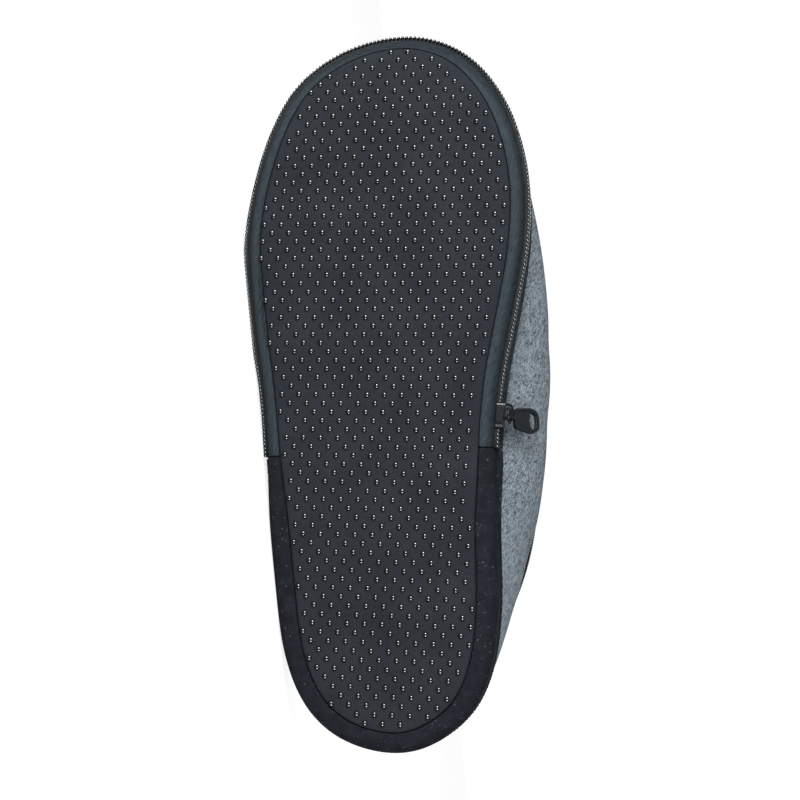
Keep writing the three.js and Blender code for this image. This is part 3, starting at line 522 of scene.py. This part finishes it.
# Felt upper
# One shell of grey wool felt, 3 mm thick: pale wool with dark fibres carded into it, pressed flat.
# It is sewn at its foot to the tape and the binding, and it creases softly where the foot bends it.
FELT_FOOT = 12.3
DEGREE_LENGTH = 0.8
CREASES = [
    {"start": (150, 52), "end": (164, 108), "width": 8, "depth": 1.8},
    {"start": (161, 50), "end": (176, 104), "width": 6, "depth": -0.8},
    {"start": (172, 46), "end": (190, 96), "width": 8, "depth": 1.4},
    {"start": (152, 126), "end": (168, 166), "width": 8, "depth": 1.2},
    {"start": (178, 118), "end": (194, 158), "width": 7, "depth": 1.2},
    {"start": (196, 58), "end": (214, 112), "width": 9, "depth": 0.9},
    {"start": (152, 6), "end": (170, 30), "width": 6, "depth": 0.4},
    {"start": (116, 8), "end": (132, 24), "width": 6, "depth": 0.4},
    {"start": (24, 14), "end": (52, 24), "width": 7, "depth": 0.5},
]
felt = finer_copy("upper", "felt_upper", 2, 0.6, 60)
from_world = shoe_matrix.inverted()
for vertex in felt.data.vertices:
    spot = from_world @ vertex.co
    degrees = math.degrees(math.atan2(spot.z - FELT_FOOT, spot.y))
    on_felt = Vector((spot.x, degrees * DEGREE_LENGTH))
    sink = 0
    for crease in CREASES:
        start = Vector((crease["start"][0], crease["start"][1] * DEGREE_LENGTH))
        run = Vector((crease["end"][0], crease["end"][1] * DEGREE_LENGTH)) - start
        share = (on_felt - start).dot(run) / run.length_squared
        away = (on_felt - start - run * max(0, min(1, share))).length / crease["width"]
        sink += crease["depth"] * math.exp(-away * away)
    hold = max(0, min(1, (spot.z - FELT_FOOT - 4) / 8))
    inward = Vector((0, -spot.y, FELT_FOOT + 8 - spot.z)).normalized()
    vertex.co = shoe_matrix @ (spot + inward * sink * hold)
felt_wool, point = new_finish("felt_wool", Roughness=0.95, Specular_IOR_Level=0.1)
LONG_FIBRE = (1, 1, 4)
strands = point.noise(1700, 3, 0.7, LONG_FIBRE, (0.6, 0.9, 0.2))
strands = strands.maths("MINIMUM", point.noise(1700, 3, 0.7, LONG_FIBRE, (2.0, 0.3, 1.2)))
strands = strands.maths("MINIMUM", point.noise(1400, 3, 0.7, LONG_FIBRE, (1.2, 2.2, 0.5)))
wool_cloud = point.noise(300, 4, 0.65)
up_axis = lay @ Vector((0, 0, 1))
dot_product = {"operation": "DOT_PRODUCT"}
above_ground = point.node("ShaderNodeVectorMath", dot_product, {0: point, 1: up_axis}, "Value")
foot_height = shoe_start.dot(up_axis) + FELT_FOOT * MM
toe_axis = lay @ Vector((1, 0, 0))
along_foot = point.node("ShaderNodeVectorMath", dot_product, {0: point, 1: toe_axis}, "Value")
zip_from = shoe_start.dot(toe_axis) + ZIP_END_U * MM
behind_zip = 1 - along_foot.between(zip_from, zip_from + 20 * MM)
# Painted light: the felt is painted paler towards the heel, fully up to 20 mm from the back and fading out by
# 90 mm.
heel_from = shoe_start.dot(toe_axis) + 20 * MM
painted_heel_light = 1 - along_foot.between(heel_from, heel_from + 70 * MM)
wool_tone = strands.between(0.34, 0.53) * 0.8 + wool_cloud.between(0.38, 0.62) * 0.2
wool_tone = wool_tone + painted_heel_light * 0.35
wool = wool_tone.mixed((0.002, 0.0042, 0.0062, 1), (0.2, 0.236, 0.267, 1))
# Painted shade: the felt is painted darker at its foot, half way to near black, fading out over 8 mm up the
# felt; the heel side behind the zip is left unshaded.
out_of_painted_shade = above_ground.between(foot_height, foot_height + 8 * MM, "SMOOTHSTEP").maths("MAXIMUM", behind_zip)
(out_of_painted_shade * 0.5 + 0.5).mixed((0.004, 0.0045, 0.005, 1), wool).feeds("Base Color")
(strands + wool_cloud * 0.3).bump(0.0004).feeds("Normal")
finished(felt, felt_wool, "shoe", "felt", "upper")

# Collar edging
# Black overlock thread covers the cut edge of the felt all round the collar, in slanting turns over its rim.
FELT = 3
INSTEP_HEIGHT = 77
ANKLE_HEIGHT = 48
HEEL_HEIGHT = 62
EDGING_GAP = 0.45
EDGING = 0.8
RIM_COLUMNS = ("at", "along", "side", "up", "lean_out", "lean_up")
RIM_ROWS = [
    (1, 0.528, 0, INSTEP_HEIGHT, 0.74, -0.15),
    (0.87, 0.515, 0.115, 0.985 * INSTEP_HEIGHT, 0.44, -0.11),
    (0.7, 0.48, 0.225, 0.935 * INSTEP_HEIGHT, 0.4, -0.06),
    (0.58, 0.436, 0.325, 0.855 * INSTEP_HEIGHT, 0.31, -0.07),
    (0.44, 0.376, 0.425, 0.735 * INSTEP_HEIGHT, 0.2, -0.1),
    (0.34, 0.325, 0.515, 1.04 * ANKLE_HEIGHT, 0.09, -0.12),
    (0.26, 0.262, 0.505, 0.98 * ANKLE_HEIGHT, 0.03, -0.12),
    (0.18, 0.195, 0.445, 1.03 * ANKLE_HEIGHT, 0.05, -0.12),
    (0.1, 0.128, 0.345, 0.88 * HEEL_HEIGHT, 0.06, -0.13),
    (0.03, 0.066, 0.19, 0.97 * HEEL_HEIGHT, 0.06, -0.15),
    (0, 0.042, 0, HEEL_HEIGHT, 0.06, -0.15),
]
RIM = [dict(zip(RIM_COLUMNS, row)) for row in RIM_ROWS]


def rim_column(key, outer_sign=1):
    knots = [(turn_of_share(r["at"]), r[key]) for r in RIM]
    other = [(FULL_TURN - turn, outer_sign * value) for turn, value in reversed(knots[1:-1])]
    return RoundCurve([*knots, *other])


rim_along, rim_side, rim_up = rim_column("along"), rim_column("side", -1), rim_column("up")
rim_lean_out, rim_lean_up = rim_column("lean_out"), rim_column("lean_up")
RIM_LIFT = (EDGING_GAP + EDGING) * math.hypot(FLOOR_SLOPE, 1, FLOOR_ROLL)
FELT_SOFTNESS = 4
collar_middle = Vector((0.28 * BOARD_LENGTH, 0, 0.3 * HEEL_HEIGHT))


def rim_point(turn):
    u, v, w = rim_along(turn) * BOARD_LENGTH, rim_side(turn) * BALL_WIDTH, rim_up(turn)
    return Vector((u, v + floor_shift(u, v, w, FELT_SOFTNESS, RIM_LIFT), w))


def rim_frame(turn, step=1e-2):
    """A frame on the felt's rim: Z on up the felt, Y out of its outer face and X along the rim."""
    lean = outline_normal(turn) * rim_lean_out(turn)
    spot = rim_point(turn)
    rise = -Vector((lean.x, lean.y, rim_lean_up(turn))).normalized()
    along = (rim_point(turn + step) - rim_point(turn - step)).normalized()
    across = rise.cross(along).normalized()
    if across.dot(spot - collar_middle) < 0:
        across.negate()
    along = across.cross(rise)
    axes = Matrix((along, across, rise)).transposed()
    return Matrix.Translation(spot) @ axes.to_4x4()


edging = finer_copy("collar_edging", "collar_overlock", 2, 0.2)
overlock, point = new_finish(
    "overlock", Roughness=0.9, Specular_IOR_Level=0.05, Base_Color=(0.003, 0.003, 0.0035, 1)
)
point.noise(1800, 2, 0.6).bump(0.0003).feeds("Normal")
finished(edging, overlock, "shoe", "thread", "collar_edging")
OVERLOCK_PITCH = 1.1
OVERLOCK_THREAD = 0.3
OVERLOCK_DEPTH = 2.2
reach = EDGING_GAP + EDGING - 0.25
OVERLOCK_TURN = [
    (-0.9, reach + 0.05, -OVERLOCK_DEPTH),
    (-0.5, reach + 0.1, -1.4),
    (-0.1, reach + 0.05, 0.4),
    (0.1, reach - 0.5, reach + 0.05),
    (0.3, -FELT / 2, reach + 0.15),
    (0.5, -FELT - reach + 0.5, reach + 0.05),
    (0.6, -FELT - reach - 0.05, 0.4),
    (0.8, -FELT - reach - 0.1, -1.4),
    (1.0, -FELT - reach - 0.05, -OVERLOCK_DEPTH),
]
rim_turns = np.linspace(0, FULL_TURN, OUTLINE_SAMPLES + 1)
rim_points = np.array([rim_point(t) for t in rim_turns])
rim_walk = np.concatenate(([0], np.cumsum(np.linalg.norm(np.diff(rim_points, axis=0), axis=1))))
overlock_walk = np.arange(0, rim_walk[-1] - OVERLOCK_PITCH / 2, OVERLOCK_PITCH)
overlock_turns = np.interp(overlock_walk, rim_walk, rim_turns)
loop = thread("overlock_turns", OVERLOCK_TURN, OVERLOCK_THREAD)
overlock_thread = set_out(loop, [rim_frame(t) for t in overlock_turns], "overlock_turns")
finished(overlock_thread, overlock, "shoe", "thread")

# Heel binding
# A matte black stretch binding wraps the edge of the sole from waist to waist round the heel.
def closed_up(piece, fold):
    """Draws the folded end of a trim in to the panel, so that the seam between them is nearly closed."""
    for vertex in piece.data.vertices:
        spot = from_world @ vertex.co
        index, out = nearest_edge(spot.x, spot.y)
        if out < -fold + 1:
            normal = outline_normals[index]
            vertex.co = shoe_matrix @ (spot - SEAM_PULL * Vector((normal[0], normal[1], 0)))


SEAM_PULL = 0.32
TRIM_CREASE = 0.5
binding = finer_copy("heel_binding", "binding_wrap", 2, TRIM_CREASE)
closed_up(binding, BINDING_FOLD)
binding_cloth, point = new_finish("binding_cloth", Roughness=0.9, Specular_IOR_Level=0.06)
lint = point.noise(1100, 1, 0.5).between(0.7, 0.76)
binding_tone = point.noise(220, 3, 0.6).between(0.3, 0.7)
plain = binding_tone.mixed((0.0046, 0.0054, 0.0078, 1), (0.009, 0.01, 0.014, 1))
lint.mixed(plain, (0.05, 0.05, 0.06, 1)).feeds("Base Color")
point.noise(1400, 2, 0.6).bump(0.0002).feeds("Normal")
finished(binding, binding_cloth, "shoe", "binding", "heel_binding")

# Zip tapes
# Black twill tape, folded over the edge of the board on one side and sewn to the felt on the other.
# Its diagonal ribs run along each tape, and a painted highlight makes the fold under the board a little
# paler.
def map_edge(piece):
    """Gives a trim a UV map in millimetres: along the edge from the toe, and round it from below."""
    spots = []
    for vertex in piece.data.vertices:
        spot = from_world @ vertex.co
        index, out = nearest_edge(spot.x, spot.y)
        along = outline_along[index]
        spots.append((along if along < OUTLINE_ROUND / 2 else along - OUTLINE_ROUND, spot.z + out))
    layer = piece.data.uv_layers.new(name="edge")
    for loop in piece.data.loops:
        layer.data[loop.index].uv = spots[loop.vertex_index]


twill, point = new_finish("twill", Roughness=0.85, Specular_IOR_Level=0.08)
edge = point.node("ShaderNodeUVMap", {"uv_map": "edge"})
ribs = edge.noise(1.6, 2, 0.6, (1, 7, 1), (0, 0, math.radians(62)))
blotches = edge.noise(0.35, 2, 0.5)
around = edge.node("ShaderNodeSeparateXYZ", None, {"Vector": edge}, output=1)
# Painted highlight: the tape is painted paler in a band round its fold under the board.
painted_fold_highlight = around.between(-4.4, -2.4, "SMOOTHSTEP") - around.between(-1.5, 3.5, "SMOOTHSTEP")
twill_tone = ribs.between(0.3, 0.7) * 0.55 + blotches * 0.2 + painted_fold_highlight * 0.3
twill_tone.mixed((0.0018, 0.0032, 0.0044, 1), (0.026, 0.0345, 0.0415, 1)).feeds("Base Color")
ribs.bump(0.0003).feeds("Normal")
for node, name in (("zip_tape_sole", "tape_on_sole"), ("zip_tape_upper", "tape_on_felt")):
    tape = finer_copy(node, name, 2, TRIM_CREASE)
    closed_up(tape, TAPE_FOLD)
    map_edge(tape)
    finished(tape, twill, "shoe", "tape", node)

# Seams
# Lock stitches in black thread hold the binding and the zip's tape on the foot of the felt, all round.
# Each one lies on the trim's outer face, a little below its upper edge.
STITCH_PITCH = 3.2
STITCH_LENGTH = 2.4
STITCH_THREAD = 0.2
TAPE_SEAM_UP = 3.1
BINDING_SEAM_UP = 1.3
SEAM_FROM_OUTSIDE = 12
SEAM_REACH = 20
outer_faces = bmesh.new()
for name in ("binding_wrap", "tape_on_felt"):
    outer_faces.from_mesh(bpy.data.objects[name].data)
outer_faces.transform(from_world)
trim_faces = BVHTree.FromBMesh(outer_faces)
outer_faces.free()
stitch_frames = []
for turn in turns_along(0, FULL_TURN, STITCH_PITCH):
    up = FELT_FOOT + (BINDING_SEAM_UP if outline_u(turn) < ZIP_END_U else TAPE_SEAM_UP)
    start = edge_frame(turn, SEAM_FROM_OUTSIDE, up)
    spot, out_of_face, face, away = trim_faces.ray_cast(start.translation, -start.col[1].to_3d(), SEAM_REACH)
    if spot:
        along = start.col[0].to_3d()
        across = (out_of_face - along * out_of_face.dot(along)).normalized()
        axes = Matrix((along, across, along.cross(across))).transposed()
        stitch_frames.append(Matrix.Translation(spot) @ axes.to_4x4())
half_stitch = STITCH_LENGTH / 2
STITCH_LINE = [(-half_stitch, -0.15, 0), (-0.8, 0.12, 0), (0.8, 0.12, 0), (half_stitch, -0.15, 0)]
stitches = set_out(thread("stitch", STITCH_LINE, STITCH_THREAD), stitch_frames, "trim_stitches")
finished(stitches, overlock, "shoe", "thread")

# Zip coil
# Two rows of black nylon coil, each turn bent round the edge of its tape, with their heads locked together.
# Behind the slider only the row on the sole's tape goes on, as far as the heel binding.
COIL_PITCH = 1.6
COIL_WIRE = 0.48
CORE_INSET = 0.5
CORE_BACK = 0.8
CHAIN_BOTTOM = 5.6
CHAIN_MIDDLE = 8.4
CHAIN_BACK = 1.6
SLIDER_U = 131
SLIDER_LENGTH = 10.5
HEAD_REACH = 0.55
coil_low = CHAIN_BACK + COIL_WIRE
coil_high = CHAIN_FACE - COIL_WIRE
coil_side = CHAIN_MIDDLE - CHAIN_BOTTOM - COIL_WIRE
COIL_TURN = [
    (-0.34, coil_low, HEAD_REACH - 0.3),
    (-0.36, coil_low, -0.75 * coil_side),
    (-0.24, coil_low + 0.25, -0.97 * coil_side),
    (-0.05, coil_high - 0.1, -coil_side),
    (0.12, coil_high, -0.8 * coil_side),
    (0.1, coil_high, -0.2),
    (0.02, coil_high - 0.05, HEAD_REACH - 0.1),
    (-0.14, coil_high - 0.35, HEAD_REACH),
]
closed_turns = turns_along(-zip_end, turn_of_u(SLIDER_U - SLIDER_LENGTH / 2), COIL_PITCH)
open_turns = turns_along(turn_of_u(SLIDER_U - SLIDER_LENGTH / 2), zip_start, COIL_PITCH)
half_pitch_turn = (closed_turns[1] - closed_turns[0]) / 2
coil_finish, point = new_finish(
    "coil_nylon", Roughness=0.12, Base_Color=(0.002, 0.003, 0.004, 1), Specular_IOR_Level=0.9, Coat_Weight=0.4
)
point.noise(3000, 2, 0.5).bump(0.00002).feeds("Normal")
COIL_ROWS = [
    ("coil_on_sole", 1, [*closed_turns, *open_turns], 0),
    ("coil_on_felt", -1, closed_turns, half_pitch_turn),
]
for name, way, turns, offset in COIL_ROWS:
    link = thread(name, [(x, y, z * way) for x, y, z in COIL_TURN], COIL_WIRE)
    coil = set_out(link, [edge_frame(turn + offset, 0, CHAIN_MIDDLE) for turn in turns], name)
    finished(coil, coil_finish, "shoe", "coil")
core = finer_copy("zip_chain", "coil_core", 0, 0)
bpy.ops.object.mode_set(mode="EDIT")
bpy.ops.mesh.select_all(action="SELECT")
bpy.ops.transform.shrink_fatten(value=-CORE_INSET * MM)
bpy.ops.object.mode_set(mode="OBJECT")
for vertex in core.data.vertices:
    spot = from_world @ vertex.co
    index, out = nearest_edge(spot.x, spot.y)
    if out < (CHAIN_BACK + CHAIN_FACE) / 2:
        normal = outline_normals[index]
        vertex.co = shoe_matrix @ (spot - CORE_BACK * Vector((normal[0], normal[1], 0)))
core_cord, point = new_finish("core_cord", Roughness=0.85, Base_Color=(0.004, 0.0045, 0.005, 1))
point.noise(1500, 2, 0.5).bump(0.0001).feeds("Normal")
finished(core, core_cord, "shoe", "coil", "zip_chain")

# Slider, ring and tab
# Die-cast zinc under black enamel: flat faces, with each edge rounded by the casting and the coat.
# The ring is a round wire, so it is smoothed instead.
ENAMEL_BLACK = (0.003, 0.0045, 0.006, 1)
enamel, point = new_finish("enamel", Roughness=0.32, Base_Color=ENAMEL_BLACK, Specular_IOR_Level=0.3)
point.noise(900, 2, 0.5).bump(0.00003).feeds("Normal")
FLAT_FACE = 1.5 * MM * MM
for node, name in (("zip_slider", "slider_body"), ("pull_tab", "tab_plate")):
    metal = finer_copy(node, name, 0, 0)
    bpy.ops.object.mode_set(mode="EDIT")
    bpy.ops.mesh.select_mode(type="FACE")
    bpy.ops.mesh.select_all(action="SELECT")
    bpy.ops.mesh.dissolve_limited(angle_limit=math.radians(2))
    bpy.ops.object.mode_set(mode="OBJECT")
    casting = metal.modifiers.new("casting", "BEVEL")
    casting.width = 0.22 * MM
    casting.segments = 2
    casting.angle_limit = math.radians(35)
    casting.use_clamp_overlap = True
    casting.harden_normals = True
    bpy.ops.object.modifier_apply(modifier=casting.name)
    for face in metal.data.polygons:
        face.use_smooth = face.area < FLAT_FACE
    finished(metal, enamel, "shoe" if node == "zip_slider" else "tab", "hardware", node)
ring = finer_copy("pull_ring", "wire_ring", 1, 0)
finished(ring, enamel, "ring", "hardware", "pull_ring")
